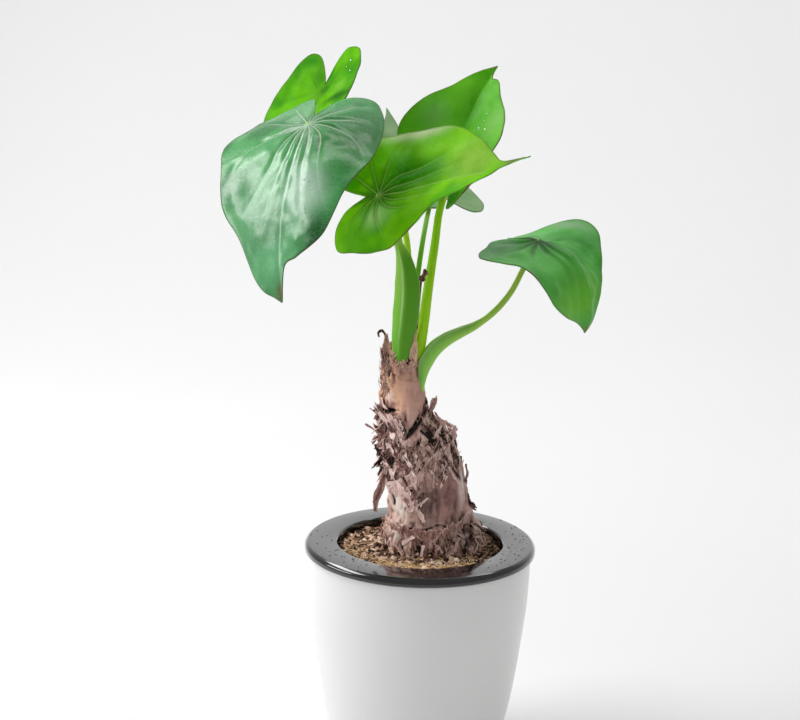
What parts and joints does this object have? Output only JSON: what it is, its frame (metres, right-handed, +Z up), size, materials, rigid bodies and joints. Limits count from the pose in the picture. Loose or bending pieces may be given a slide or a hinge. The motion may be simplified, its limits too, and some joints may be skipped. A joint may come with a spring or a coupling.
{
  "type": "potted giant taro",
  "caption": "Young aroid house plant: glossy heart-shaped leaves on long stalks from a thick husky stem, in a white self-watering pot with a wide black flange.",
  "frame": {"origin": "centre of the flat foot of the white pot, on the surface it stands on", "axes": "+Z up along the pot's axis; the picture was taken from the -Y side, so +X is to its right"},
  "size_m": [0.2549, 0.258, 0.4875],
  "materials": {
    "white_plastic": "glossy moulded plastic",
    "black_plastic": "glossy moulded plastic",
    "cotton": "twisted cotton cord, damp",
    "potting_mix": "crumbly, matt",
    "old_stem": "rough, papery and fibrous, matt",
    "blue_green_leaf": "glossy, waxy",
    "yellow_green_leaf": "glossy, waxy, lets light through",
    "bright_green_leaf": "glossy, waxy, lets light through",
    "mid_green_leaf": "glossy, waxy",
    "dark_green_leaf": "glossy, waxy",
    "grey_green_leaf": "satin, seen from below"
  },
  "bodies": {
    "root": {"outer_pot": "white_plastic", "inner_pot": "black_plastic", "wick": "cotton", "soil": "potting_mix", "stem": "old_stem", "leaf_front_left": "blue_green_leaf", "leaf_back_left": "yellow_green_leaf", "leaf_front_centre": "bright_green_leaf", "leaf_back_right": "mid_green_leaf", "leaf_right": "dark_green_leaf", "leaf_back": "grey_green_leaf"}
  },
  "joints": []
}
